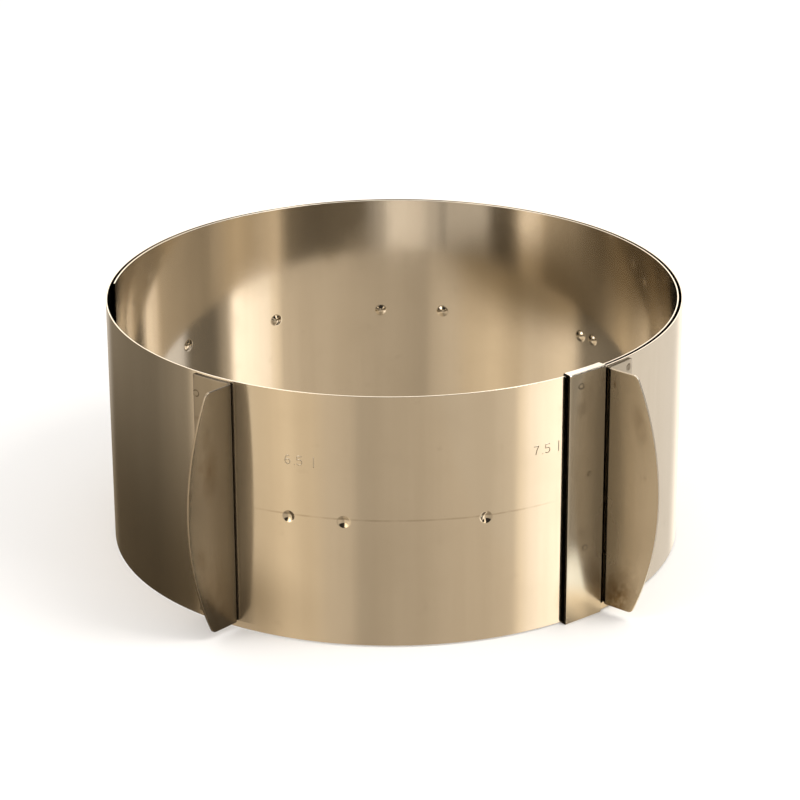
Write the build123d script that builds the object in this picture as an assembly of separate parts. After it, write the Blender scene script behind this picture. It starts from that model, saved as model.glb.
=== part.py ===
from build123d import *
from collections import namedtuple
from math import cos, degrees, pi, radians, sin
import os

# Adjustable cake ring: one curled spring strip that laps over itself, two folded handles, and a
# folded guide that keeps the laps together. Millimetres, +Z up, origin on the ring's axis at the
# level that the ring stands on, front of the ring towards -Y.

# Strip
strip_height = 85.0
strip_thickness = 0.5
ring_bore = 190.6
layer_pitch = 1.4

strip_length = 985.9

# Where the fixed handle's fold and the strip's outer end stand round the ring, from its front
fold_angle = -31.2
guide_angle = 34.4

# The strip bends everywhere. It is made in short sections that meet at upright bending lines.
handle_section_left = 20.0
handle_section_right = 12.0
outer_section_count = 16
inner_section_count = 16
bend_gap = 0.1

# Detent dents pressed into the inner lap, and the pip near the outer end that drops into them
dent_width = 3.8
dent_depth = 0.7
metric_row_start = 18.5
metric_row_step = 20.0
metric_dent_count = 8
inch_row_start = 36.4
inch_row_step = 25.4
inch_dent_count = 6
pip_width = 3.0
pip_height = 0.4
pip_from_end = 4.1

# Handles
handle_thickness = 0.8
handle_height = 82.0
handle_drop = 0.8
handle_bend_radius = 0.8
fixed_flange_width = 15.4
fixed_fin_lean = 10.0
slide_flange_width = 11.7
slide_fin_lean = 5.0
fin_reach = 21.1
fin_corner_reach = 11.7
fin_corner_radius = 2.0
seat_gap = 0.02

# Guide folded round both laps at the strip's outer end
guide_thickness = 0.5
guide_width = 15.0
guide_to_handle = 1.0
guide_play = 0.1
guide_depth = 2.3
claw_height = 4.0
guide_bend_radius = 0.6

# One overrun for every cut
overrun = 5.0

# Levels and radii that follow from the sizes above
strip_bottom = guide_thickness + guide_play
strip_top = strip_bottom + strip_height
strip_middle = strip_bottom + strip_height / 2
handle_top = strip_top - handle_drop
handle_middle = handle_top - handle_height / 2
ring_radius = ring_bore / 2 + strip_thickness / 2
spiral_slope = layer_pitch / (2 * pi * ring_radius)

# Lengths of strip on each side of the fixed handle's fold: round the back to the guide, and inside
outer_turn = radians(360 - guide_angle + fold_angle)
outer_run = outer_turn * (ring_radius + layer_pitch * outer_turn / (4 * pi))
inner_run = strip_length - outer_run

# Bearing of the ring's front, counted from +X
front_bearing = -90

# A section is an arc about its own upright axis. Angles run from the ring's front, positive to
# the right as seen from there, and sweep is signed. The section's first edge is its bending line.
Section = namedtuple("Section", "name centre radius start sweep")


def polar(centre, radius, angle):
    """A point at an angle on a circle about a centre."""
    return (centre[0] + radius * sin(radians(angle)), centre[1] - radius * cos(radians(angle)))


def lap_radius(along):
    """Radius of the strip's middle line, which draws in steadily towards the inner end."""
    return ring_radius - spiral_slope * along


def next_section(name, point, heading, radius, length, turn):
    """The arc that leaves a point along a heading, with the point and heading at its far end."""
    centre = polar(point, -turn * radius, heading)
    sweep = turn * degrees(length / radius)
    start = heading if turn > 0 else heading - 180
    section = Section(name, centre, radius, start, sweep)
    return section, polar(centre, radius, start + sweep), heading + sweep


def run_of_sections(stem, count, point, heading, first, run, turn):
    """Equal sections along one run of the strip, away from the section under the fixed handle."""
    length = (run - first) / count
    sections = []
    for number in range(count):
        radius = lap_radius(turn * (first + (number + 1 / 2) * length))
        name = f"{stem}_{number + 1:02d}"
        section, point, heading = next_section(name, point, heading, radius, length, turn)
        sections.append(section)
    return sections


def strip_sections():
    """The section under the fixed handle, the outer run and the inner run, each in order."""
    fold = polar((0, 0), ring_radius, fold_angle)
    heading = fold_angle + degrees(spiral_slope)
    left, left_end, left_heading = next_section(
        "", fold, heading + 180, ring_radius, handle_section_left, -1)
    right, right_end, right_heading = next_section(
        "", fold, heading, ring_radius, handle_section_right, 1)
    home = Section("band_at_fixed_handle", right.centre, ring_radius,
                   left.start + left.sweep, right.sweep - left.sweep)
    outer = run_of_sections("band_outer", outer_section_count, left_end, left_heading,
                            handle_section_left, outer_run, -1)
    inner = run_of_sections("band_inner", inner_section_count, right_end, right_heading,
                            handle_section_right, inner_run, 1)
    return home, outer, inner


def ring_arc(centre, radius, start, sweep):
    """A level arc by the angles of a section."""
    return CenterArc(centre, radius, start + front_bearing, sweep)


def upright(face, bottom, height):
    """A flat outline made into an upright solid between two levels."""
    return Pos(0, 0, bottom) * extrude(face, height, dir=(0, 0, 1))


def arc_plate(centre, inner_radius, thickness, start, sweep, bottom, height):
    """An upright plate that follows an arc."""
    inside = ring_arc(centre, inner_radius, start, sweep)
    outside = ring_arc(centre, inner_radius + thickness, start, sweep)
    ends = [Line(inside @ end, outside @ end) for end in (0, 1)]
    return upright(make_face([inside, outside, *ends]), bottom, height)


def strip_plate(section):
    """A section of the strip, drawn back a little at both bending lines."""
    side = 1 if section.sweep > 0 else -1
    inset = side * degrees(bend_gap / 2 / section.radius)
    return arc_plate(section.centre, section.radius - strip_thickness / 2, strip_thickness,
                     section.start + inset, section.sweep - 2 * inset, strip_bottom, strip_height)


def press_dent(plate, section, angle, width, depth):
    """Press a round dent inwards at mid height, hollow on the outside and domed on the inside."""
    face_radius = section.radius + strip_thickness / 2
    ball = ((width / 2) ** 2 + depth ** 2) / (2 * depth)
    place = Pos(*polar(section.centre, face_radius + ball - depth, angle), strip_middle)
    reach = width + overrun
    spread = degrees(reach / face_radius)
    inside = arc_plate(section.centre, face_radius - reach, reach, angle - spread, 2 * spread,
                       strip_middle - reach, 2 * reach)
    dome = place * Sphere(ball + strip_thickness) & inside
    return plate + dome - place * Sphere(ball)


def dent_places():
    """Lengths from the fixed handle's fold to each dent: a row by centimetres and one by inches."""
    metric = [metric_row_start + pi * metric_row_step * n for n in range(metric_dent_count)]
    inches = [inch_row_start + pi * inch_row_step * n for n in range(inch_dent_count)]
    return metric + inches


def inner_plate(section, number):
    """A section of the inner run with the dents that fall on it."""
    plate = strip_plate(section)
    length = (inner_run - handle_section_right) / inner_section_count
    first = handle_section_right + number * length
    margin = dent_width / 2 + bend_gap
    for place in dent_places():
        if first + margin < place < first + length - margin:
            angle = section.start + section.sweep * (place - first) / length
            plate = press_dent(plate, section, angle, dent_width, dent_depth)
    return plate


def outer_end_plate(section):
    """The strip's outer end, with the pip that drops into the dents."""
    angle = section.start + section.sweep + degrees(pip_from_end / section.radius)
    return press_dent(strip_plate(section), section, angle, pip_width, pip_height)


def folded_handle(section, fold, side, flange_width, lean):
    """A flange that lies on the strip, with a bow-edged fin folded out at one end of it.

    side is 1 where the flange lies to the right of the fold, and -1 where it lies to the left.
    """
    middle_radius = section.radius + strip_thickness / 2 + seat_gap + handle_thickness / 2
    bend_radius = handle_bend_radius + handle_thickness / 2
    bend_start = fold + side * degrees((bend_radius + handle_thickness / 2) / middle_radius)
    far_end = fold + side * degrees(flange_width / middle_radius)
    flange = ring_arc(section.centre, middle_radius, far_end, bend_start - far_end)
    bend = JernArc(flange @ 1, flange % 1, bend_radius, side * (90 + lean))
    fin = Line(bend @ 1, bend @ 1 + (bend % 1) * fin_reach)
    sheet = trace(Wire([flange, bend, fin]), handle_thickness)
    blank = upright(sheet, handle_middle - handle_height / 2, handle_height)
    seat = polar(section.centre, section.radius + strip_thickness / 2, fold)
    outwards = fold + side * lean
    fin_plane = Plane(origin=(*seat, handle_middle),
                      x_dir=(sin(radians(outwards)), -cos(radians(outwards)), 0),
                      z_dir=(cos(radians(outwards)), sin(radians(outwards)), 0))
    half = handle_height / 2
    bow = ThreePointArc((fin_corner_reach, -half), (fin_reach, 0), (fin_corner_reach, half))
    back = -fin_reach
    outline = make_face([bow, Line(bow @ 1, (back, half)), Line((back, half), (back, -half)),
                         Line((back, -half), bow @ 0)])
    corners = outline.vertices().sort_by(Axis.X)[-2:]
    outline = fillet(corners, fin_corner_radius)
    return blank & fin_plane * extrude(outline, 2 * fin_reach, both=True)


def guide_channel(section):
    """A sheet folded over the top and bottom edges of both laps, with a claw behind each edge."""
    plate_radius = section.radius + strip_thickness / 2 + seat_gap
    outside = plate_radius + guide_thickness
    claw_face = section.radius - guide_depth
    claw_back = claw_face - guide_thickness
    half = strip_height / 2 + guide_play
    outer_half = half + guide_thickness
    claw_end = half - claw_height
    upper = [(claw_face, claw_end), (claw_face, half), (plate_radius, half)]
    upper_outer = [(outside, outer_half), (claw_back, outer_half), (claw_back, claw_end)]
    lower = [(across, -level) for across, level in reversed(upper)]
    lower_outer = [(across, -level) for across, level in reversed(upper_outer)]
    profile = make_face(Polyline(*upper, *lower, *lower_outer, *upper_outer, close=True))
    bends = profile.vertices().filter_by(lambda v: abs(v.Y) > outer_half - guide_play)
    profile = fillet(bends, guide_bend_radius)
    turn = degrees(guide_width / section.radius)
    start = section.start + section.sweep
    place = Pos(*section.centre, strip_middle) * Rot(0, 0, start + front_bearing) * Rot(90, 0, 0)
    axis = Axis((*section.centre, 0), (0, 0, 1))
    return revolve(place * profile, axis, turn)


def part_solids():
    """Every piece of the cake ring under its own name."""
    home, outer, inner = strip_sections()
    pieces = {home.name: strip_plate(home)}
    for section in outer[:-1]:
        pieces[section.name] = strip_plate(section)
    end = outer[-1]
    pieces[end.name] = outer_end_plate(end)
    for number, section in enumerate(inner):
        pieces[section.name] = inner_plate(section, number)
    pieces["fixed_handle"] = folded_handle(home, fold_angle, -1, fixed_flange_width, fixed_fin_lean)
    slide_fold = end.start + end.sweep + degrees((guide_width + guide_to_handle) / end.radius)
    pieces["slide_handle"] = folded_handle(end, slide_fold, 1, slide_flange_width, slide_fin_lean)
    pieces["guide_channel"] = guide_channel(end)
    return pieces


os.makedirs("parts", exist_ok=True)
for name, solid in part_solids().items():
    export_step(solid, f"parts/{name}.step")
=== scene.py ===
from collections import namedtuple
from math import atan2, cos, degrees, hypot, pi, radians, sin, sqrt
import bpy
import numpy as np
from mathutils import Matrix, Vector


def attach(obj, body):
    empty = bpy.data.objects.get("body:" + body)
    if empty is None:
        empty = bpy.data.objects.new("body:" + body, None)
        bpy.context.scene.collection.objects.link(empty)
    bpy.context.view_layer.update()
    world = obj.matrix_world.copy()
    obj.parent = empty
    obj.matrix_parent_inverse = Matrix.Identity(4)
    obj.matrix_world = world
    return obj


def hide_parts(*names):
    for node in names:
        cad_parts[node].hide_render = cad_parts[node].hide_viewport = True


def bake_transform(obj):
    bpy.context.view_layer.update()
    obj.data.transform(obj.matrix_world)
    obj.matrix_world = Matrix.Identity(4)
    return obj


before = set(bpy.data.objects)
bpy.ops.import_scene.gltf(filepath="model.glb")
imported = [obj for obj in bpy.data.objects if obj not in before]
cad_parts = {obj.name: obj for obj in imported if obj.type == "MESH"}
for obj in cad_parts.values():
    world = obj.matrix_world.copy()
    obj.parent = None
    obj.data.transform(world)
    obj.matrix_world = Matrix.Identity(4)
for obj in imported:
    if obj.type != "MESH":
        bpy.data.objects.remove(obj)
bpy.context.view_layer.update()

# Adjustable cake ring. Sizes in millimetres as in the part's source, meshes in metres.
MM = 0.001

# Strip
strip_height = 85.0
strip_thickness = 0.5
ring_bore = 190.6
layer_pitch = 1.4
strip_length = 985.9
fold_angle = -31.2
guide_angle = 34.4
handle_section_left = 20.0
handle_section_right = 12.0
outer_section_count = 16
inner_section_count = 16
edge_round = 0.12
lip_length = 0.15
lip_inset = 0.03

# Dents and the pip
dent_reach = 2.1
dent_depth = 0.72
metric_row_start = 18.5
metric_row_step = 20.0
metric_dent_count = 8
inch_row_start = 36.4
inch_row_step = 25.4
inch_dent_count = 6
pip_reach = 1.7
# 0.05 mm less than the part's own, so that it clears the inner lap where the sheet bends smoothly
pip_height = 0.35
pip_from_end = 4.1

# Handles
handle_thickness = 0.8
handle_height = 82.0
handle_drop = 0.8
handle_bend_radius = 0.8
fixed_flange_width = 15.4
fixed_fin_lean = 10.0
slide_flange_width = 11.7
slide_fin_lean = 5.0
fin_reach = 21.1
fin_corner_reach = 11.7
fin_corner_radius = 2.0
seat_gap = 0.02

# Guide
guide_thickness = 0.5
guide_width = 15.0
guide_to_handle = 1.0
guide_play = 0.1
guide_depth = 2.3
claw_height = 4.0
guide_bend_radius = 0.6

# Levels and radii that follow
strip_bottom = guide_thickness + guide_play
strip_top = strip_bottom + strip_height
strip_middle = strip_bottom + strip_height / 2
handle_top = strip_top - handle_drop
handle_middle = handle_top - handle_height / 2
ring_radius = ring_bore / 2 + strip_thickness / 2
spiral_slope = layer_pitch / (2 * pi * ring_radius)
outer_turn = radians(360 - guide_angle + fold_angle)
outer_run = outer_turn * (ring_radius + layer_pitch * outer_turn / (4 * pi))
inner_run = strip_length - outer_run

# One map for every sheet: 1 unit is 100 mm, u along the sheet and v up
MAP = "length_height"
MAP_UNIT = 100.0

Section = namedtuple("Section", "name centre radius start sweep first length")


def polar(centre, radius, angle):
    """A point at an angle on a circle, counted from the ring's front, positive to the right."""
    return (centre[0] + radius * sin(radians(angle)), centre[1] - radius * cos(radians(angle)))


def arc_from(name, point, heading, radius, length, turn, first):
    """The strip's next section, with the point and heading at its far end."""
    centre = polar(point, -turn * radius, heading)
    sweep = turn * degrees(length / radius)
    start = heading if turn > 0 else heading - 180
    section = Section(name, centre, radius, start, sweep, first, turn * length)
    return section, polar(centre, radius, start + sweep), heading + sweep


def run_of_sections(stem, count, point, heading, first, run, turn):
    """Equal sections along one run of the strip."""
    length = (run - first) / count
    sections = []
    for number in range(count):
        along = turn * (first + (number + 1 / 2) * length)
        radius = ring_radius - spiral_slope * along
        section, point, heading = arc_from(f"{stem}_{number + 1:02d}", point, heading, radius,
                                           length, turn, turn * (first + number * length))
        sections.append(section)
    return sections


def strip_sections():
    """The section under the fixed handle, the outer run and the inner run."""
    fold = polar((0, 0), ring_radius, fold_angle)
    heading = fold_angle + degrees(spiral_slope)
    left, left_end, left_heading = arc_from("", fold, heading + 180, ring_radius,
                                            handle_section_left, -1, 0)
    right, right_end, right_heading = arc_from("", fold, heading, ring_radius,
                                               handle_section_right, 1, 0)
    home = Section("band_at_fixed_handle", right.centre, ring_radius, left.start + left.sweep,
                   right.sweep - left.sweep, -handle_section_left,
                   handle_section_left + handle_section_right)
    outer = run_of_sections("band_outer", outer_section_count, left_end, left_heading,
                            handle_section_left, outer_run, -1)
    inner = run_of_sections("band_inner", inner_section_count, right_end, right_heading,
                            handle_section_right, inner_run, 1)
    return home, outer, inner


HOME, OUTER, INNER = strip_sections()


def dents():
    """Each dent or pip as its place along the strip, its reach and its depth."""
    places = [metric_row_start + pi * metric_row_step * n for n in range(metric_dent_count)]
    places += [inch_row_start + pi * inch_row_step * n for n in range(inch_dent_count)]
    rows = [(place, dent_reach, dent_depth) for place in places]
    rows.append((-outer_run + pip_from_end, pip_reach, pip_height))
    return rows


DENTS = dents()
FINE = 0.22
FINE_REACH = 2.6


def pressed(along, level):
    """How far the sheet is pressed inwards at a place, by the dents."""
    depth = 0.0
    for place, reach, deep in DENTS:
        q = ((along - place) ** 2 + (level - strip_middle) ** 2) / reach ** 2
        if q < 1:
            depth += deep * (1 - q) ** 1.35
    return depth


def spread(low, high, step):
    """Evenly spaced values from low to high, both included."""
    count = max(1, int(round(abs(high - low) / step)))
    return [low + (high - low) * n / count for n in range(count + 1)]


def face_levels(fine):
    """Levels of the rows on the strip's two faces."""
    low, high = strip_bottom + edge_round, strip_top - edge_round
    if not fine:
        return spread(low, high, 8.0)
    below = spread(low, strip_middle - FINE_REACH, 8.0)
    middle = spread(strip_middle - FINE_REACH, strip_middle + FINE_REACH, FINE)
    above = spread(strip_middle + FINE_REACH, high, 8.0)
    return below[:-1] + middle + above[1:]


def strip_outline(fine):
    """The strip's cut, as (offset from the middle line, level, whether a dent presses it)."""
    half = strip_thickness / 2
    levels = face_levels(fine)
    outline = [(half, level, True) for level in levels]
    corner = [(cos(radians(a)), sin(radians(a))) for a in (30, 60, 90)]
    high, low = strip_top - edge_round, strip_bottom + edge_round
    outline += [(half - edge_round + edge_round * c, high + edge_round * s, False) for c, s in corner]
    outline += [(-half + edge_round - edge_round * c, high + edge_round * s, False)
                for c, s in reversed(corner)]
    outline += [(-half, level, True) for level in reversed(levels)]
    outline += [(-half + edge_round - edge_round * c, low - edge_round * s, False) for c, s in corner]
    outline += [(half - edge_round + edge_round * c, low - edge_round * s, False)
                for c, s in reversed(corner)]
    return outline


def stations_of(section, low, high):
    """(place along the strip, centre, radius, angle) from one share of a section to another."""
    rows = []
    first, last = sorted((section.first + low * section.length, section.first + high * section.length))
    places = spread(first, last, 1.0)
    for place, reach, deep in DENTS:
        near = spread(place - FINE_REACH, place + FINE_REACH, FINE)
        inside = [value for value in near if first < value < last]
        if inside:
            places = [p for p in places if p < min(inside) - FINE / 2 or p > max(inside) + FINE / 2]
            places += inside
    for place in sorted(set(places) | {first, last}):
        share = (place - section.first) / section.length
        rows.append((place, section.centre, section.radius, section.start + share * section.sweep))
    return rows


def flattened(along):
    """How far the guide's flat plate presses the outer lap in from its arc."""
    across = along + outer_run - guide_width / 2
    lap = ring_radius + spiral_slope * outer_run
    return max(0.0, (guide_width ** 2 / 4 - across ** 2) / (2 * lap))


def sheet_points(stations, outline):
    """Points of a grid of stations by outline."""
    grid = np.zeros((len(stations), len(outline), 3))
    for i, (along, centre, radius, angle) in enumerate(stations):
        ux, uy = sin(radians(angle)), -cos(radians(angle))
        flat = flattened(along)
        for j, (offset, level, dented) in enumerate(outline):
            r = radius + offset - flat - (pressed(along, level) if dented else 0.0)
            grid[i, j] = (centre[0] + r * ux, centre[1] + r * uy, level)
    return grid


def grid_normals(grid, closed_outline=True):
    """Normals of a grid's inner stations, from its neighbours on both sides."""
    along = grid[2:] - grid[:-2]
    middle = grid[1:-1]
    if closed_outline:
        across = np.roll(middle, -1, axis=1) - np.roll(middle, 1, axis=1)
    else:
        across = np.gradient(middle, axis=1)
    normals = np.cross(along, across)
    return normals / np.linalg.norm(normals, axis=2, keepdims=True)


def new_object(name, points, faces, material):
    """A mesh object from points in millimetres."""
    mesh = bpy.data.meshes.new(name)
    mesh.from_pydata([tuple(p) for p in np.asarray(points) * MM], [], faces)
    mesh.materials.append(material)
    mesh.polygons.foreach_set("use_smooth", [True] * len(mesh.polygons))
    mesh.update()
    piece = bpy.data.objects.new(name, mesh)
    bpy.context.scene.collection.objects.link(piece)
    return piece


def give_map(piece, places):
    """Writes the length and height of each vertex into the sheet map."""
    layer = piece.data.uv_layers.new(name=MAP)
    loops = np.zeros(len(piece.data.loops), np.int32)
    piece.data.loops.foreach_get("vertex_index", loops)
    values = np.asarray(places, float)[loops] / MAP_UNIT
    layer.data.foreach_set("uv", values.astype(np.float32).ravel())


def strip_piece(name, stations, before, after, materials, caps=()):
    """A length of strip on a grid, with normals that run on into the next length."""
    fine = any(stations[0][0] - FINE_REACH < d[0] < stations[-1][0] + FINE_REACH for d in DENTS)
    outline = strip_outline(fine)
    grid = sheet_points([before] + stations + [after], outline)
    normals = grid_normals(grid)
    grid = grid[1:-1]
    if "last" not in caps:
        # A lip inside the next piece, so that no gap opens when the strip bends
        ahead = grid[-1] - grid[-2]
        ahead /= np.linalg.norm(ahead, axis=1, keepdims=True)
        inset = grid[-1] - normals[-1] * lip_inset
        grid = np.concatenate([grid, [inset, inset + ahead * lip_length]])
        normals = np.concatenate([normals, normals[-1:], normals[-1:]])
        stations = stations + [stations[-1]] * 2
    rows, columns = grid.shape[:2]
    faces = []
    for i in range(rows - 1):
        for j in range(columns):
            k = (j + 1) % columns
            faces.append((i * columns + j, (i + 1) * columns + j,
                          (i + 1) * columns + k, i * columns + k))
    points = grid.reshape(-1, 3)
    places = [(station[0], point[1]) for station in stations for point in outline]
    normal_rows = normals.reshape(-1, 3)
    for end in caps:
        base = len(points)
        row = 0 if end == "first" else rows - 1
        points = np.vstack([points, grid[row]])
        places += [(stations[row][0], point[1]) for point in outline]
        facing = grid[row] - grid[1 if end == "first" else rows - 2]
        normal_rows = np.vstack([normal_rows, facing / np.linalg.norm(facing, axis=1, keepdims=True)])
        loop = list(range(base, base + columns))
        half = columns // 2
        for j in range(half - 1):
            quad = (loop[j], loop[j + 1], loop[columns - 2 - j], loop[columns - 1 - j])
            faces.append(quad if end == "first" else quad[::-1])
    piece = new_object(name, points, faces, materials[0])
    piece.data.materials.append(materials[1])
    wall = (rows - 1) * columns
    piece.data.polygons.foreach_set("material_index", [0] * wall + [1] * (len(faces) - wall))
    give_map(piece, places)
    piece.data.normals_split_custom_set_from_vertices([tuple(n) for n in normal_rows])
    return piece


def station_at(section, share):
    """One station of a section, which may lie a little past its ends."""
    return (section.first + share * section.length, section.centre, section.radius,
            section.start + share * section.sweep)


PAST = 0.02


def joined_strip_pieces(materials):
    """The whole strip: a piece over each bending line, and the two ends."""
    for run in (OUTER, INNER):
        parent = HOME
        for child in run:
            if parent is HOME:
                edge = 0.0 if run is OUTER else 1.0
                near = stations_of(parent, 0.5, edge)
                beyond = 0.5 + (PAST if run is OUTER else -PAST)
            else:
                near = stations_of(parent, 0.5, 1.0)
                beyond = 0.5 - PAST
            far = stations_of(child, 0.0, 0.5)
            stations = sorted(near + far[1:] if run is INNER else far[:-1] + near,
                              key=lambda row: row[0])
            first, last = station_at(parent, beyond), station_at(child, 0.5 + PAST)
            before, after = (first, last) if run is INNER else (last, first)
            piece = strip_piece(child.name + "_sheet", stations, before, after, materials)
            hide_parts(parent.name, child.name)
            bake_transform(piece)
            parent = child
        end = run[-1]
        stations = stations_of(end, 0.5, 1.0)
        inside, outside = station_at(end, 0.5 - PAST), station_at(end, 1 + PAST)
        before, after = (inside, outside) if run is INNER else (outside, inside)
        piece = strip_piece("outer_end_sheet" if run is OUTER else "inner_end_sheet", stations,
                            before, after, materials, caps=("first",) if run is OUTER else ("last",))
        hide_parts(end.name)
        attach(piece, end.name)


def fin_width(level, half):
    """How far the fin reaches from its fold at a height above its middle."""
    # The bow's circle passes through the two corners and the middle of the edge
    rise = fin_reach - fin_corner_reach
    radius = (half ** 2 + rise ** 2) / (2 * rise)
    middle = fin_reach - radius
    edge = middle + sqrt(max(0.0, radius ** 2 - level ** 2))
    # Rounded corner: a small circle that touches the bow and the flat end
    inner = half - fin_corner_radius
    centre = middle + sqrt((radius - fin_corner_radius) ** 2 - inner ** 2)
    touch = inner * radius / (radius - fin_corner_radius)
    if abs(level) > touch:
        lift = min(abs(level) - inner, fin_corner_radius)
        return centre + sqrt(max(0.0, fin_corner_radius ** 2 - lift ** 2))
    return edge


def handle_sheet(name, section, fold, side, flange_width, lean, materials):
    """A flange on the strip and a bow-edged fin folded out at one end of it."""
    middle_radius = section.radius + strip_thickness / 2 + seat_gap + handle_thickness / 2
    bend_radius = handle_bend_radius + handle_thickness / 2
    bend_start = fold + side * degrees((bend_radius + handle_thickness / 2) / middle_radius)
    far_end = fold + side * degrees(flange_width / middle_radius)
    half = handle_height / 2
    # Heights: close together near the corners, but further apart than the broken edge is wide
    core = spread(-half + 3, half - 3, 2.0)
    tip = [half - 3 + 3 * sin(radians(a)) for a in (16, 31, 43, 54, 65, 90)]
    levels = [-value for value in reversed(tip)] + core + tip
    # The path's flange and bend, the same at every height
    path = []
    for angle in spread(far_end, bend_start, degrees(1.0 / middle_radius)):
        x, y = polar(section.centre, middle_radius, angle)
        path.append((x, y, angle))
    # Away from the flange's end the path heads towards the fold and turns outwards
    x0, y0, a0 = path[-1]
    out = (sin(radians(a0)), -cos(radians(a0)))
    along = (-side * cos(radians(a0)), -side * sin(radians(a0)))
    total = 90 + lean
    for turn in spread(0, total, 10)[1:]:
        t = radians(turn)
        x = x0 + bend_radius * (along[0] * sin(t) + out[0] * (1 - cos(t)))
        y = y0 + bend_radius * (along[1] * sin(t) + out[1] * (1 - cos(t)))
        path.append((x, y, a0 + side * turn))
    end = path[-1]
    t = radians(total)
    head = (along[0] * cos(t) + out[0] * sin(t), along[1] * cos(t) + out[1] * sin(t))
    seat = polar(section.centre, section.radius + strip_thickness / 2, fold)
    gone = (end[0] - seat[0]) * head[0] + (end[1] - seat[1]) * head[1]
    fin_steps = 14
    grid = []
    for level in levels:
        row = []
        for x, y, angle in path:
            row.append((x, y, level))
        reach = fin_width(level, half) - gone
        for n in range(1, fin_steps + 1):
            d = reach * n / fin_steps
            row.append((end[0] + head[0] * d, end[1] + head[1] * d, level))
        grid.append(row)
    grid = np.array(grid)
    # Offsets square to the path, from its own direction
    step = np.gradient(grid[len(levels) // 2], axis=0)[:, :2]
    step /= np.linalg.norm(step, axis=1, keepdims=True)
    step[-fin_steps:] = head
    normal = np.stack([side * -step[:, 1], side * step[:, 0]], axis=1)
    outward = np.array(out)
    if normal[0] @ outward < 0:
        normal = -normal
    offset = np.zeros_like(grid)
    offset[:, :, :2] = normal[None] * handle_thickness / 2
    front, back = grid + offset, grid - offset
    rows, columns = grid.shape[:2]
    points = np.vstack([front.reshape(-1, 3), back.reshape(-1, 3)])
    points[:, 2] += handle_middle
    count = rows * columns
    index = lambda i, j, layer: layer * count + i * columns + j
    faces = []
    for i in range(rows - 1):
        for j in range(columns - 1):
            faces.append((index(i, j, 0), index(i, j + 1, 0), index(i + 1, j + 1, 0), index(i + 1, j, 0)))
            faces.append((index(i, j, 1), index(i + 1, j, 1), index(i + 1, j + 1, 1), index(i, j + 1, 1)))
    for j in range(columns - 1):
        faces.append((index(0, j, 1), index(0, j + 1, 1), index(0, j + 1, 0), index(0, j, 0)))
        faces.append((index(rows - 1, j, 0), index(rows - 1, j + 1, 0),
                      index(rows - 1, j + 1, 1), index(rows - 1, j, 1)))
    for i in range(rows - 1):
        faces.append((index(i, 0, 1), index(i, 0, 0), index(i + 1, 0, 0), index(i + 1, 0, 1)))
        faces.append((index(i, columns - 1, 0), index(i, columns - 1, 1),
                      index(i + 1, columns - 1, 1), index(i + 1, columns - 1, 0)))
    piece = new_object(name, points, faces, materials[0])
    for extra in materials[1:]:
        piece.data.materials.append(extra)
    # Slots: back face, bow edge, sheared top and bottom rims, front face
    cut = [3, 0] * ((rows - 1) * (columns - 1)) + [2] * (2 * (columns - 1)) + [1] * (2 * (rows - 1))
    piece.data.polygons.foreach_set("material_index", cut)
    run = np.concatenate([[0], np.cumsum(np.linalg.norm(np.diff(grid[rows // 2], axis=0), axis=1))])
    places = [(run[j], grid[i, j, 2] + handle_middle) for i in range(rows) for j in range(columns)]
    give_map(piece, places + places)
    finish_sheet(piece, 0.14)
    return piece


def finish_sheet(piece, width):
    """Points the faces outwards and breaks the sharp edges a little."""
    import bmesh
    work = bmesh.new()
    work.from_mesh(piece.data)
    bmesh.ops.recalc_face_normals(work, faces=work.faces)
    work.to_mesh(piece.data)
    work.free()
    bevel = piece.modifiers.new("broken_edges", "BEVEL")
    bevel.width = width * MM
    bevel.segments = 2
    bevel.limit_method = "ANGLE"
    bevel.angle_limit = radians(50)
    weighted = piece.modifiers.new("weighted_normals", "WEIGHTED_NORMAL")
    weighted.keep_sharp = True


def guide_outline():
    """The guide's cut as (distance from the section's middle line, height from its middle)."""
    plate = strip_thickness / 2 + seat_gap
    outside = plate + guide_thickness
    claw_face = -guide_depth
    claw_back = claw_face - guide_thickness
    half = strip_height / 2 + guide_play
    outer_half = half + guide_thickness
    claw_end = half - claw_height
    r = guide_bend_radius
    small = 0.12
    arc = [0, 15, 30, 45, 60, 75, 90]
    upper = [(plate, 0.0), (plate, half - small)]
    upper += [(plate - small + small * cos(radians(a)), half - small + small * sin(radians(a)))
              for a in (30, 60, 90)]
    upper += [(claw_face + small - small * sin(radians(a)), half - small + small * cos(radians(a)))
              for a in (0, 30, 60, 90)]
    upper += [(claw_face, claw_end), (claw_back, claw_end)]
    upper += [(claw_back + r - r * cos(radians(a)), outer_half - r + r * sin(radians(a))) for a in arc]
    upper += [(outside - r + r * sin(radians(a)), outer_half - r + r * cos(radians(a))) for a in arc]
    # Rows down the outside of the plate keep its faces short
    upper += [(outside, outer_half * (1 - n / 5)) for n in range(1, 5)] + [(outside, 0.0)]
    lower = [(d, -h) for d, h in reversed(upper[1:-1])]
    return upper + lower


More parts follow.
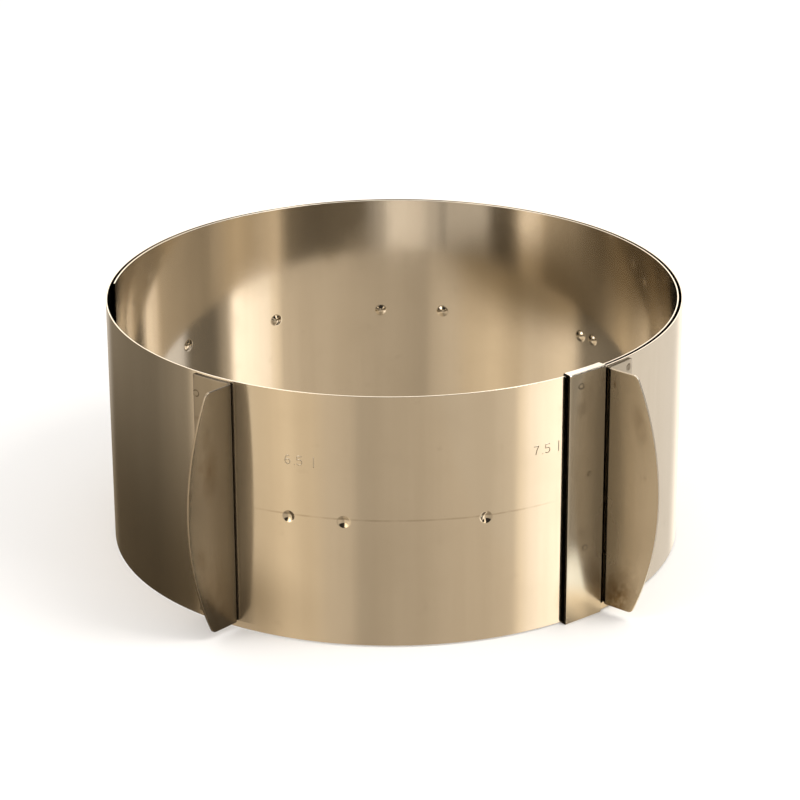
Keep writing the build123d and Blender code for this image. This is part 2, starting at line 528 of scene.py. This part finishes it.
def guide_sheet(name, section, materials):
    """The guide: claws that follow the strip's outer end, and a plate that is flat across it."""
    outline = guide_outline()
    start = section.start + section.sweep
    turn = degrees(guide_width / section.radius)
    angles = spread(start, start + turn, degrees(1.0 / section.radius))
    points, places = [], []
    for angle in angles:
        # The plate lies flat on the lap, and the claws keep to the arc
        run = section.radius * radians(angle - start)
        flat = flattened(run - outer_run)
        for across, height in outline:
            share = min(1.0, max(0.0, (across + guide_depth) / (guide_depth + strip_thickness / 2)))
            x, y = polar(section.centre, section.radius + across - share * flat, angle)
            points.append((x, y, strip_middle + height))
            places.append((run, strip_middle + height))
    rows, columns = len(angles), len(outline)
    faces = []
    for i in range(rows - 1):
        for j in range(columns):
            k = (j + 1) % columns
            faces.append((i * columns + j, (i + 1) * columns + j,
                          (i + 1) * columns + k, i * columns + k))
    faces.append(tuple(range(columns)))
    faces.append(tuple((rows - 1) * columns + j for j in reversed(range(columns))))
    piece = new_object(name, points, faces, materials[0])
    piece.data.materials.append(materials[1])
    piece.data.polygons.foreach_set("material_index", [0] * (len(faces) - 2) + [1, 1])
    give_map(piece, places)
    finish_sheet(piece, 0.08)
    return piece


# Node helpers

def group_of(name, inputs, outputs):
    """An empty node group with named sockets, its nodes and links."""
    tree = bpy.data.node_groups.new(name, "ShaderNodeTree")
    for label, kind, value in inputs:
        socket = tree.interface.new_socket(label, in_out="INPUT", socket_type=kind)
        if value is not None:
            socket.default_value = value
    for label, kind in outputs:
        tree.interface.new_socket(label, in_out="OUTPUT", socket_type=kind)
    enter = tree.nodes.new("NodeGroupInput")
    leave = tree.nodes.new("NodeGroupOutput")
    return tree, enter, leave


def node(tree, kind, links=None, **settings):
    """A node with its settings, its input values and its links."""
    made = tree.nodes.new("ShaderNode" + kind)
    for key, value in settings.items():
        setattr(made, key, value)
    for label, value in (links or {}).items():
        socket = made.inputs[label]
        if isinstance(value, bpy.types.NodeSocket):
            tree.links.new(value, socket)
        else:
            socket.default_value = value
    return made


def math_node(tree, operation, a, b=0.0):
    """One sum on one or two values."""
    return node(tree, "Math", {0: a, 1: b}, operation=operation).outputs[0]


def rescale(tree, value, low, high, to_low=0.0, to_high=1.0):
    """A value taken from one range to another, smoothly and held at the ends."""
    made = node(tree, "MapRange", {"Value": value, "From Min": low, "From Max": high,
                                   "To Min": to_low, "To Max": to_high},
                interpolation_type="SMOOTHSTEP")
    return made.outputs["Result"]


def grain_group():
    """The sheet's fine grain, which runs across the strip, and soft streaks the same way."""
    tree, enter, leave = group_of(
        "rolled_grain",
        [("Map", "NodeSocketVector", None), ("Grain Scale", "NodeSocketFloat", 180.0),
         ("Streak Scale", "NodeSocketFloat", 14.0), ("Seed", "NodeSocketFloat", 0.0)],
        [("Grain", "NodeSocketFloat"), ("Streaks", "NodeSocketFloat")])
    split = node(tree, "SeparateXYZ", {0: enter.outputs["Map"]})

    def stretched(along_scale, up_scale, detail):
        u = math_node(tree, "MULTIPLY", split.outputs[0], along_scale)
        v = math_node(tree, "MULTIPLY", split.outputs[1], up_scale)
        place = node(tree, "CombineXYZ", {0: u, 1: v, 2: enter.outputs["Seed"]})
        return node(tree, "TexNoise", {"Vector": place.outputs[0], "Scale": 1.0, "Detail": detail,
                                       "Roughness": 0.55}).outputs[0]

    tree.links.new(stretched(enter.outputs["Grain Scale"], 5.0, 3.0), leave.inputs["Grain"])
    tree.links.new(stretched(enter.outputs["Streak Scale"], 0.6, 2.0), leave.inputs["Streaks"])
    return tree


def handling_group():
    """Finger smudges, brown stains and small spots."""
    tree, enter, leave = group_of(
        "handling_marks",
        [("Map", "NodeSocketVector", None), ("Scale", "NodeSocketFloat", 4.0),
         ("Seed", "NodeSocketFloat", 0.0)],
        [("Smudges", "NodeSocketFloat"), ("Stains", "NodeSocketFloat"), ("Spots", "NodeSocketFloat")])
    shift = node(tree, "CombineXYZ", {0: enter.outputs["Seed"], 1: enter.outputs["Seed"], 2: 0.0})
    place = node(tree, "VectorMath", {0: enter.outputs["Map"], 1: shift.outputs[0]}, operation="ADD")
    cloud = node(tree, "TexNoise", {"Vector": place.outputs[0], "Scale": enter.outputs["Scale"],
                                    "Detail": 4.0, "Roughness": 0.55})
    smudges = rescale(tree, cloud.outputs[0], 0.40, 0.75)
    patch = node(tree, "TexNoise", {
        "Vector": place.outputs[0], "Scale": math_node(tree, "MULTIPLY", enter.outputs["Scale"], 3.2),
        "Detail": 5.0, "Roughness": 0.7})
    stains = rescale(tree, patch.outputs[0], 0.60, 0.72)
    small = math_node(tree, "MULTIPLY", enter.outputs["Scale"], 14.0)
    cells = node(tree, "TexVoronoi", {"Vector": place.outputs[0], "Scale": small, "Randomness": 1.0})
    dots = rescale(tree, cells.outputs["Distance"], 0.10, 0.04)
    rare = rescale(tree, cells.outputs["Color"], 0.84, 0.88)
    spots = math_node(tree, "MULTIPLY", dots, rare)
    tree.links.new(smudges, leave.inputs["Smudges"])
    tree.links.new(stains, leave.inputs["Stains"])
    tree.links.new(spots, leave.inputs["Spots"])
    return tree


def weld_group():
    """A small round spot-weld print: a shallow dish with an uneven dark rim."""
    tree, enter, leave = group_of(
        "weld_print",
        [("Map", "NodeSocketVector", None), ("Centre", "NodeSocketVector", None),
         ("Radius", "NodeSocketFloat", 0.02)],
        [("Rim", "NodeSocketFloat"), ("Dish", "NodeSocketFloat")])
    gap = node(tree, "VectorMath", {0: enter.outputs["Map"], 1: enter.outputs["Centre"]},
               operation="DISTANCE")
    wobble = node(tree, "TexNoise", {"Vector": enter.outputs["Map"], "Scale": 45.0, "Detail": 1.0})
    off = math_node(tree, "MULTIPLY", math_node(tree, "SUBTRACT", wobble.outputs[0], 0.5), 0.012)
    reach = math_node(tree, "DIVIDE", math_node(tree, "ADD", gap.outputs["Value"], off),
                      enter.outputs["Radius"])
    dish = rescale(tree, reach, 1.05, 0.6)
    away = math_node(tree, "ABSOLUTE", math_node(tree, "SUBTRACT", reach, 0.8))
    uneven = node(tree, "TexNoise", {"Vector": enter.outputs["Map"], "Scale": 70.0, "Detail": 1.0})
    rim = math_node(tree, "MULTIPLY", rescale(tree, away, 0.30, 0.05),
                    rescale(tree, uneven.outputs[0], 0.35, 0.55, 0.15, 1.0))
    tree.links.new(rim, leave.inputs["Rim"])
    tree.links.new(dish, leave.inputs["Dish"])
    return tree


def patch_group():
    """A dark patch with a ragged edge and a mottled middle, for tarnish and for painted shade."""
    tree, enter, leave = group_of(
        "tarnish_and_shade_patch",
        [("Map", "NodeSocketVector", None), ("Centre", "NodeSocketVector", None),
         ("Size", "NodeSocketVector", None)],
        [("Patch", "NodeSocketFloat")])
    away = node(tree, "VectorMath", {0: enter.outputs["Map"], 1: enter.outputs["Centre"]},
                operation="SUBTRACT")
    shaped = node(tree, "VectorMath", {0: away.outputs[0], 1: enter.outputs["Size"]},
                  operation="DIVIDE")
    reach = node(tree, "VectorMath", {0: shaped.outputs[0]}, operation="LENGTH")
    ragged = node(tree, "TexNoise", {"Vector": enter.outputs["Map"], "Scale": 28.0, "Detail": 4.0,
                                     "Roughness": 0.6})
    edge = math_node(tree, "MULTIPLY_ADD", ragged.outputs[0], 1.2)
    edge.node.inputs[2].default_value = -0.6
    mottle = rescale(tree, ragged.outputs[0], 0.35, 0.65, 0.45, 1.0)
    patch = rescale(tree, math_node(tree, "ADD", reach.outputs["Value"], edge), 1.15, 0.25)
    tree.links.new(math_node(tree, "MULTIPLY", patch, mottle), leave.inputs["Patch"])
    return tree


GRAIN, HANDLING, WELD, PATCH = grain_group(), handling_group(), weld_group(), patch_group()
STAIN_BROWN = (0.17, 0.12, 0.07, 1.0)
# Brown, for tarnish and for painted shade
TARNISH_AND_SHADE_COLOUR = (0.15, 0.105, 0.055, 1.0)
# Near black, for painted shade in creases, gaps and dark reflections
PAINTED_SHADE_COLOUR = (0.008, 0.006, 0.004, 1.0)
BAND_FADE = 0.002


def use_group(tree, group, values):
    """A group in a material, with its input values and links."""
    made = tree.nodes.new("ShaderNodeGroup")
    made.node_tree = group
    for label, value in values.items():
        if isinstance(value, bpy.types.NodeSocket):
            tree.links.new(value, made.inputs[label])
        else:
            made.inputs[label].default_value = value
    return made


def mix_colour(tree, share, a, b):
    """A colour between two colours."""
    made = node(tree, "Mix", {}, data_type="RGBA")
    for socket, value in ((made.inputs[0], share), (made.inputs[6], a), (made.inputs[7], b)):
        if isinstance(value, bpy.types.NodeSocket):
            tree.links.new(value, socket)
        else:
            socket.default_value = value
    return made.outputs[2]


def steel(name, light, dull, roughness, seed, stain=0.0, welds=(), wear_line=None, shade_bands=(),
          levels=None, patches=(), grain_height=0.12):
    """Rolled stainless steel on the sheet map, with the marks that its piece has.

    A band is an upright stripe of painted shade, as in creases, gaps and dark reflections: first and last
    length, how softly it starts and ends, and how dark it is. Patches are dark spots, some tarnish and some
    painted shade: each has its centre, its size and its strength.
    """
    material = bpy.data.materials.new(name)
    material.use_nodes = True
    tree = material.node_tree
    shader = tree.nodes["Principled BSDF"]
    shader.inputs["Metallic"].default_value = 1.0
    surface = node(tree, "UVMap", uv_map=MAP).outputs[0]
    grain = use_group(tree, GRAIN, {"Map": surface, "Seed": seed})
    marks = use_group(tree, HANDLING, {"Map": surface, "Seed": seed, "Scale": 4.0})
    streaks = rescale(tree, grain.outputs["Streaks"], 0.3, 0.7, 0.0, 0.5)
    colour = mix_colour(tree, streaks, light, dull)
    colour = mix_colour(tree, math_node(tree, "MULTIPLY", marks.outputs["Smudges"], 0.5), colour, dull)
    colour = mix_colour(tree, math_node(tree, "MULTIPLY", marks.outputs["Stains"], stain), colour,
                        STAIN_BROWN)
    colour = mix_colour(tree, math_node(tree, "MULTIPLY", marks.outputs["Spots"], 0.30), colour,
                        STAIN_BROWN)
    rough = rescale(tree, marks.outputs["Smudges"], 0.0, 1.0, roughness, roughness + 0.035)
    rough = math_node(tree, "ADD", rough, math_node(tree, "MULTIPLY", grain.outputs["Grain"], 0.03))
    height = math_node(tree, "MULTIPLY", grain.outputs["Grain"], grain_height)
    for centre, radius in welds:
        mark = use_group(tree, WELD, {"Map": surface, "Centre": (*centre, 0.0), "Radius": radius})
        colour = mix_colour(tree, math_node(tree, "MULTIPLY", mark.outputs["Rim"], 0.8), colour,
                            (0.10, 0.08, 0.06, 1.0))
        height = math_node(tree, "SUBTRACT", height, math_node(tree, "MULTIPLY", mark.outputs["Dish"], 0.8))
    if wear_line:
        first, last, level = wear_line
        split = node(tree, "SeparateXYZ", {0: surface})
        drift = node(tree, "TexNoise", {"Vector": surface, "Scale": 2.0, "Detail": 0.0})
        drop = math_node(tree, "MULTIPLY", drift.outputs[0], 0.010)
        away = math_node(tree, "ABSOLUTE", math_node(
            tree, "SUBTRACT", math_node(tree, "SUBTRACT", split.outputs[1], level), drop))
        line = rescale(tree, away, 0.0052, 0.0005)
        inside = math_node(tree, "MULTIPLY", rescale(tree, split.outputs[0], first - 0.02, first + 0.05),
                           rescale(tree, split.outputs[0], last + 0.01, last - 0.14))
        broken = node(tree, "TexNoise", {"Vector": surface, "Scale": 16.0, "Detail": 2.0})
        line = math_node(tree, "MULTIPLY", math_node(tree, "MULTIPLY", line, inside),
                         rescale(tree, broken.outputs[0], 0.35, 0.6, 0.35, 1.0))
        colour = mix_colour(tree, math_node(tree, "MULTIPLY", line, 0.30), colour,
                            (0.26, 0.21, 0.14, 1.0))
        height = math_node(tree, "SUBTRACT", height, math_node(tree, "MULTIPLY", line, 0.5))
    # Painted shade: each band darkens an upright stripe almost to black
    for first, last, start, finish, amount in shade_bands:
        split = node(tree, "SeparateXYZ", {0: surface})
        along, up = split.outputs[0], split.outputs[1]
        shade_mask = math_node(tree, "MULTIPLY", rescale(tree, along, first - start, first),
                          rescale(tree, along, last + finish, last, 0.0, amount))
        if levels:
            low, high = levels
            shade_mask = math_node(tree, "MULTIPLY", shade_mask, math_node(
                tree, "MULTIPLY", rescale(tree, up, low, low + BAND_FADE),
                rescale(tree, up, high, high - BAND_FADE)))
        colour = mix_colour(tree, shade_mask, colour, PAINTED_SHADE_COLOUR)
        rough = math_node(tree, "ADD", rough, math_node(tree, "MULTIPLY", shade_mask, 0.3))
    # Patches: tarnish in some places, painted shade in others
    for centre, size, amount in patches:
        spot = use_group(tree, PATCH, {"Map": surface, "Centre": (*centre, 0.0), "Size": (*size, 1.0)})
        colour = mix_colour(tree, math_node(tree, "MULTIPLY", spot.outputs["Patch"], amount), colour,
                            TARNISH_AND_SHADE_COLOUR)
    bump = node(tree, "Bump", {"Height": height, "Strength": 0.2, "Distance": 0.00002})
    tree.links.new(colour, shader.inputs["Base Color"])
    tree.links.new(rough, shader.inputs["Roughness"])
    tree.links.new(bump.outputs[0], shader.inputs["Normal"])
    return material


# Scale figures: strokes in a cell one wide and two high
FIGURE_STROKES = {
    "5": [[(0.95, 2.0), (0.1, 2.0), (0.05, 1.15), (0.55, 1.25), (0.92, 1.0), (0.98, 0.55),
           (0.8, 0.12), (0.4, 0.0), (0.02, 0.2)]],
    "6": [[(0.85, 1.9), (0.5, 2.0), (0.15, 1.6), (0.03, 0.9), (0.12, 0.25), (0.5, 0.0),
           (0.88, 0.22), (0.98, 0.65), (0.8, 1.08), (0.45, 1.15), (0.08, 0.85)]],
    "7": [[(0.02, 2.0), (0.98, 2.0), (0.6, 1.1), (0.4, 0.0)]],
    ".": [[(0.0, 0.0), (0.12, 0.0)]],
    "|": [[(0.0, -0.25), (0.0, 2.2)]],
}
figure_width = 1.75
figure_height = 2.9
figure_stroke = 0.32
figure_lift = 0.015
figure_sink = 0.1


def surface_point(along, level, lift):
    """A point on the strip's outer face, in millimetres."""
    for section in [HOME] + INNER:
        if section.first <= along <= section.first + section.length:
            share = (along - section.first) / section.length
            angle = section.start + share * section.sweep
            x, y = polar(section.centre, section.radius + strip_thickness / 2 + lift, angle)
            return (x, y, level)
    raise ValueError(along)


def figure_strokes(text, places, level):
    """The strokes of a label as lines of (length, height), one place for each figure."""
    lines = []
    for figure, place in zip(text, places):
        for stroke in FIGURE_STROKES[figure]:
            lines.append([(place + x * figure_width, level + y * figure_height / 2)
                          for x, y in stroke])
    return lines


def label_piece(name, text, places, level, material):
    """A stamped label as thin closed strokes let into the strip's face."""
    points, faces, map_places = [], [], []
    for line in figure_strokes(text, places, level):
        smooth = []
        for (x0, y0), (x1, y1) in zip(line, line[1:]):
            count = max(1, int(hypot(x1 - x0, y1 - y0) / 0.25))
            smooth += [(x0 + (x1 - x0) * n / count, y0 + (y1 - y0) * n / count) for n in range(count)]
        smooth.append(line[-1])
        smooth = np.array(smooth)
        tangent = np.gradient(smooth, axis=0)
        tangent /= np.linalg.norm(tangent, axis=1, keepdims=True) + 1e-9
        side = np.stack([-tangent[:, 1], tangent[:, 0]], axis=1) * figure_stroke / 2
        base = len(points)
        for (x, y), (sx, sy) in zip(smooth, side):
            for k, lift in ((-1, figure_lift), (1, figure_lift), (1, -figure_sink), (-1, -figure_sink)):
                points.append(surface_point(x + k * sx, y + k * sy, lift))
                map_places.append((x + k * sx, y + k * sy))
        for n in range(len(smooth) - 1):
            a = base + 4 * n
            faces += [(a + k, a + 4 + k, a + 4 + (k + 1) % 4, a + (k + 1) % 4) for k in range(4)]
        last = len(points) - 4
        faces += [(base, base + 1, base + 2, base + 3), (last + 3, last + 2, last + 1, last)]
    piece = new_object(name, points, faces, material)
    give_map(piece, map_places)
    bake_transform(piece)
    return piece


def stamped(name, dark, light):
    """Stamped lines: the same steel, darker and duller in the cut."""
    material = bpy.data.materials.new(name)
    material.use_nodes = True
    tree = material.node_tree
    shader = tree.nodes["Principled BSDF"]
    shader.inputs["Metallic"].default_value = 1.0
    surface = node(tree, "UVMap", uv_map=MAP).outputs[0]
    uneven = node(tree, "TexNoise", {"Vector": surface, "Scale": 30.0, "Detail": 3.0})
    worn = rescale(tree, uneven.outputs[0], 0.35, 0.65)
    colour = mix_colour(tree, worn, dark, light)
    tree.links.new(colour, shader.inputs["Base Color"])
    tree.links.new(rescale(tree, uneven.outputs[0], 0.3, 0.7, 0.34, 0.44), shader.inputs["Roughness"])
    return material


# Materials
guide_end = (guide_width - outer_run) / MAP_UNIT
handle_levels = ((handle_top - handle_height) / MAP_UNIT, handle_top / MAP_UNIT)
strip_steel = steel("strip_steel", (0.72, 0.685, 0.625, 1.0), (0.66, 0.62, 0.555, 1.0), 0.085, 1.3,
                    stain=0.06, wear_line=(0.069, 1.078, 0.434), levels=handle_levels,
                    # Painted shade in three bands: under the fixed handle's fold, over the fin's reflection on
                    # the band beside that fold, and in the gap between the guide and the slide handle's fold
                    shade_bands=[(-0.012, -0.003, 0.003, 0.003, 0.65), (0.0, 0.02, 0.003, 0.05, 0.30),
                           (guide_end, guide_end + 0.0125, 0.001, 0.004, 1.0)])
fixed_handle_steel = steel("fixed_handle_steel", (0.30, 0.272, 0.225, 1.0), (0.235, 0.208, 0.168, 1.0),
                           0.20, 4.1, stain=0.30, grain_height=0.06,
                           welds=[((0.07, 0.12), 0.020), ((0.07, 0.43), 0.020), ((0.05, 0.79), 0.016)],
                           # The last patch darkens the fin's lower part.
                           patches=[((0.257, 0.58), (0.040, 0.11), 0.55), ((0.31, 0.30), (0.03, 0.05), 0.4),
                                    ((0.35, 0.53), (0.02, 0.02), 0.4), ((0.29, 0.70), (0.02, 0.05), 0.3),
                                    ((0.27, 0.10), (0.14, 0.20), 0.45)])
fixed_flange_steel = steel("fixed_flange_steel", (0.38, 0.345, 0.29, 1.0), (0.31, 0.28, 0.23, 1.0),
                           0.40, 1.9, stain=0.30, grain_height=0.06,
                           welds=[((0.07, 0.12), 0.018), ((0.07, 0.43), 0.018), ((0.012, 0.785), 0.013)])
slide_handle_steel = steel("slide_handle_steel", (0.44, 0.405, 0.345, 1.0), (0.38, 0.345, 0.285, 1.0),
                           0.18, 2.6, stain=0.30, grain_height=0.03,
                           # Painted shade: the band darkens the sheet at and beside its fold, and the patches
                           # at (0.205, 0.055) and (0.150, 0.07) darken the fin towards its foot
                           shade_bands=[(0.115, 0.150, 0.01, 0.05, 0.22)],
                           welds=[((0.02, 0.825), 0.011), ((0.05, 0.45), 0.014), ((0.05, 0.12), 0.014)],
                           patches=[((0.262, 0.69), (0.040, 0.085), 0.42), ((0.205, 0.055), (0.12, 0.14), 1.0),
                                     ((0.150, 0.07), (0.045, 0.08), 0.8),
                                    ((0.145, 0.80), (0.011, 0.016), 0.7)])
slide_flange_steel = steel("slide_flange_steel", (0.74, 0.71, 0.65, 1.0), (0.68, 0.64, 0.57, 1.0), 0.42, 3.7,
                           stain=0.10, grain_height=0.06,
                           welds=[((0.02, 0.825), 0.011), ((0.05, 0.45), 0.014), ((0.05, 0.12), 0.014)],
                           patches=[((0.020, 0.823), (0.013, 0.014), 0.95)])
guide_steel = steel("guide_steel", (0.72, 0.69, 0.63, 1.0), (0.66, 0.62, 0.55, 1.0), 0.13, 7.7,
                    # Painted shade: the band darkens the plate towards its end by the slide handle's fold
                    stain=0.15, grain_height=0.02, shade_bands=[(0.115, 0.20, 0.06, 0.01, 0.17)],
                    welds=[((0.048, 0.815), 0.012), ((0.090, 0.505), 0.010), ((0.075, 0.252), 0.011)],
                    patches=[((0.050, 0.74), (0.03, 0.03), 0.25), ((0.06, 0.30), (0.04, 0.04), 0.2)])
stamp_steel = stamped("stamp_steel", (0.43, 0.40, 0.34, 1.0), (0.65, 0.61, 0.54, 1.0))
faint_stamp_steel = stamped("faint_stamp_steel", (0.61, 0.575, 0.51, 1.0), (0.70, 0.66, 0.59, 1.0))
cut_steel = steel("cut_steel", (0.44, 0.39, 0.32, 1.0), (0.30, 0.26, 0.20, 1.0), 0.34, 9.2, stain=0.3)
# Sheared rims of the fixed handle: their own dull tone, painted darker still as the shade in the gap along the
# flange's top
shaded_rim_steel = steel("shaded_rim_steel", (0.085, 0.072, 0.055, 1.0), (0.055, 0.045, 0.034, 1.0), 0.38, 6.1)
shaded_cut_steel = steel("shaded_cut_steel", (0.012, 0.010, 0.008, 1.0), (0.006, 0.005, 0.004, 1.0), 0.4,
                         5.5)

# Pieces
joined_strip_pieces((strip_steel, shaded_cut_steel))

fixed = handle_sheet("fixed_handle_sheet", HOME, fold_angle, -1, fixed_flange_width, fixed_fin_lean,
                     (fixed_handle_steel, cut_steel, shaded_rim_steel, fixed_flange_steel))
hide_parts("fixed_handle")
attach(fixed, HOME.name)

end = OUTER[-1]
slide_fold = end.start + end.sweep + degrees((guide_width + guide_to_handle) / end.radius)
slide = handle_sheet("slide_handle_sheet", end, slide_fold, 1, slide_flange_width, slide_fin_lean,
                     (slide_handle_steel, slide_flange_steel, cut_steel, slide_flange_steel))
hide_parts("slide_handle")
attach(slide, end.name)

guide = guide_sheet("guide_channel_sheet", end, (guide_steel, shaded_cut_steel))
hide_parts("guide_channel")
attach(guide, end.name)

label_piece("scale_mark_six_and_half", "6.5|", (17.6, 20.6, 21.5, 27.0), 61.1,
            faint_stamp_steel)
label_piece("scale_mark_seven_and_half", "7.5|", (97.5, 100.6, 101.6, 106.65), 61.3,
            stamp_steel)


# Floor, light and camera

def oval(tree, place, centre, turn, size):
    """Distance from an oval's centre on the floor, 1 at its edge."""
    moved = node(tree, "Mapping", {"Vector": place, "Location": (*centre, 0.0),
                                   "Rotation": (0.0, 0.0, radians(turn)), "Scale": (*size, 1.0)},
                 vector_type="TEXTURE")
    return node(tree, "VectorMath", {0: moved.outputs[0]}, operation="LENGTH").outputs["Value"]


def floor():
    """A plain pale floor, which the steel's shine sees only faintly, with a painted shadow round the ring's
    foot and a painted pool of light by the slide handle, both seen only in the shine.
    """
    mesh = bpy.data.meshes.new("floor")
    size = 4.0
    mesh.from_pydata([(-size, -size, 0), (size, -size, 0), (size, size, 0), (-size, size, 0)], [],
                     [(0, 1, 2, 3)])
    ground = bpy.data.objects.new("floor", mesh)
    bpy.context.scene.collection.objects.link(ground)
    material = bpy.data.materials.new("floor_paper")
    material.use_nodes = True
    tree = material.node_tree
    shader = tree.nodes["Principled BSDF"]
    shader.inputs["Roughness"].default_value = 0.9
    shader.inputs["Specular IOR Level"].default_value = 0.1
    clear = tree.nodes.new("ShaderNodeBsdfTransparent")
    # Painted shadow: the floor the shine sees dims towards the ring's foot, most on the left
    place = node(tree, "TexCoord").outputs["Object"]
    split = node(tree, "SeparateXYZ", {0: place})
    reach = node(tree, "VectorMath", {0: place}, operation="LENGTH").outputs["Value"]
    left = math_node(tree, "MULTIPLY", rescale(tree, split.outputs[0], -0.02, -0.08),
                     rescale(tree, split.outputs[1], -0.135, -0.085))
    most = math_node(tree, "ADD", 0.04, math_node(tree, "MULTIPLY", left, 0.70))
    foot = math_node(tree, "MULTIPLY", rescale(tree, reach, 0.28, 0.10), most)
    dims = [math_node(tree, "SUBTRACT", 1.0, math_node(tree, "MULTIPLY", foot, depth))
            for depth in (0.95, 1.0, 1.08)]
    shadow_tint = node(tree, "CombineXYZ", dict(enumerate(dims)))
    tree.links.new(shadow_tint.outputs[0], clear.inputs[0])
    mix = tree.nodes.new("ShaderNodeMixShader")
    ray = tree.nodes.new("ShaderNodeLightPath")
    # A painted pool of light on the floor at the slide handle's foot shows in what stands near it
    outside_painted_pool = rescale(tree, oval(tree, place, (0.085, -0.078), -12, (0.029, 0.0115)), 0.60, 1.30, 0.0, 0.96)
    share = math_node(tree, "MULTIPLY", ray.outputs["Is Glossy Ray"], outside_painted_pool)
    painted_pool_colour = mix_colour(tree, rescale(tree, split.outputs[0], 0.074, 0.090), (0.98, 0.80, 0.55, 1.0),
                     (1.0, 0.95, 0.80, 1.0))
    paper = mix_colour(tree, ray.outputs["Is Glossy Ray"], (0.92, 0.91, 0.90, 1.0), painted_pool_colour)
    tree.links.new(paper, shader.inputs["Base Color"])
    tree.links.new(share, mix.inputs[0])
    tree.links.new(shader.outputs[0], mix.inputs[1])
    tree.links.new(clear.outputs[0], mix.inputs[2])
    tree.links.new(mix.outputs[0], tree.nodes["Material Output"].inputs[0])
    mesh.materials.append(material)


# The studio round the ring as the steel's shine sees it: tone by bearing in degrees, counted from
# the front, positive to the right. Low is what stands below the eye line, high what hangs above it.
LOW_CARDS = [
    (-180, 1.5), (-166, 0.65), (-152, 0.22), (-112, 0.175), (-90, 0.28), (-80, 1.15), (-62, 0.90),
    (-54, 0.80), (-44, 0.95), (-34, 0.83), (-24, 0.73), (-17, 0.66), (-13, 0.50), (2, 0.555),
    (36, 0.69), (49, 0.78), (51.5, 1.20), (57, 1.50), (63, 1.70), (72, 1.90), (76, 0.50), (84, 0.16), (97, 0.19), (105, 0.95),
    (116, 0.92), (148, 0.90), (162, 1.4), (180, 1.5),
]
HIGH_CARDS = [
    (-180, 2.2), (-140, 0.9), (-112, 0.3), (-94, 0.7), (-36, 2.0), (-20, 0.04), (36, 0.02),
    (42, 1.8), (52, 1.8), (58, 0.02), (84, 0.03), (112, 0.3), (140, 1.0), (180, 2.2),
]
CARD_WARMTH = (1.0, 0.80, 0.56)
OVERHEAD = (0.75, 0.71, 0.65, 1.0)
UNDERFOOT_SHARE = (0.62, 0.60, 0.57)


def card_ramp(tree, share, cards):
    """The tone of a row of cards round the ring."""
    ramp = tree.nodes.new("ShaderNodeValToRGB")
    ramp.color_ramp.interpolation = "EASE"
    elements = ramp.color_ramp.elements
    elements.remove(elements[-1])
    top = max(tone for bearing, tone in cards)
    for number, (bearing, tone) in enumerate(cards):
        place = (bearing + 180) / 360
        element = elements[0] if number == 0 else elements.new(place)
        element.position = place
        # Behind the ring is daylight, and some at the right, and the card at the left is warmest
        cool = (0.45 if abs(bearing) > 160 or bearing > 100 else 0.2 if 54 < bearing < 76
                else -0.12 if -60 < bearing < -30 else 0.0)
        colour = [tone / top * (w + (1 - w) * cool) for w in CARD_WARMTH]
        element.color = (*colour, 1.0)
    tree.links.new(share, ramp.inputs[0])
    return node(tree, "VectorMath", {0: ramp.outputs[0], 1: (top, top, top)},
                operation="MULTIPLY").outputs[0]


def studio():
    """The studio as the shine sees it, and plain soft light for the rest."""
    world = bpy.context.scene.world or bpy.data.worlds.new("studio")
    bpy.context.scene.world = world
    world.use_nodes = True
    tree = world.node_tree
    tree.nodes.clear()
    way = node(tree, "TexCoord").outputs["Generated"]
    split = node(tree, "SeparateXYZ", {0: way})
    bearing = math_node(tree, "ARCTAN2", split.outputs[0],
                        math_node(tree, "MULTIPLY", split.outputs[1], -1.0))
    share = math_node(tree, "ADD", math_node(tree, "DIVIDE", bearing, 2 * pi), 0.5)
    low = card_ramp(tree, share, LOW_CARDS)
    high = card_ramp(tree, share, HIGH_CARDS)
    sky = mix_colour(tree, rescale(tree, split.outputs[2], -0.10, 0.15), low, high)
    sky = mix_colour(tree, rescale(tree, split.outputs[2], 0.70, 0.95), sky, OVERHEAD)
    under = node(tree, "VectorMath", {0: low, 1: UNDERFOOT_SHARE}, operation="MULTIPLY").outputs[0]
    sky = mix_colour(tree, rescale(tree, split.outputs[2], -0.60, -0.80), sky, under)
    ray = tree.nodes.new("ShaderNodeLightPath")
    seen = mix_colour(tree, ray.outputs["Is Glossy Ray"], (1.0, 0.99, 0.975, 1.0), sky)
    back = node(tree, "Background", {"Color": seen, "Strength": 1.0})
    output = tree.nodes.new("ShaderNodeOutputWorld")
    tree.links.new(back.outputs[0], output.inputs[0])


def soft_light(name, place, size, power, colour):
    """A soft box that faces the ring."""
    data = bpy.data.lights.new(name, "AREA")
    data.shape = "RECTANGLE"
    data.size, data.size_y = size
    data.energy = power
    data.color = colour
    light = bpy.data.objects.new(name, data)
    bpy.context.scene.collection.objects.link(light)
    light.location = place
    aim = Vector((0, 0, 0.045)) - Vector(place)
    light.rotation_euler = aim.to_track_quat("-Z", "Y").to_euler()


def camera():
    """The photograph's viewpoint, from its fitted place, heading, roll and lens."""
    data = bpy.data.cameras.new("camera")
    data.sensor_width = 36.0
    data.lens = 36.0 * 3070.4754 / 800
    data.clip_start = 0.01
    view = bpy.data.objects.new("camera", data)
    bpy.context.scene.collection.objects.link(view)
    place = Vector((2.111, -966.738, 439.417)) * MM
    forward = Vector((0.0, 0.92613, -0.37721)).normalized()
    right = Vector((1.0, 0.0, 0.0))
    up = right.cross(forward)
    turn = Matrix((right, up, -forward)).transposed().to_4x4()
    view.matrix_world = Matrix.Translation(place) @ turn @ Matrix.Rotation(-0.0041, 4, "Z")
    bpy.context.scene.camera = view


floor()
studio()
soft_light("key_light", (0.7, -0.3, 0.9), (0.6, 0.6), 6.0, (1.0, 0.97, 0.92))
soft_light("fill_light", (-0.8, -0.5, 0.7), (0.7, 0.7), 2.5, (0.95, 0.97, 1.0))
camera()
bpy.context.scene.view_settings.view_transform = "Standard"
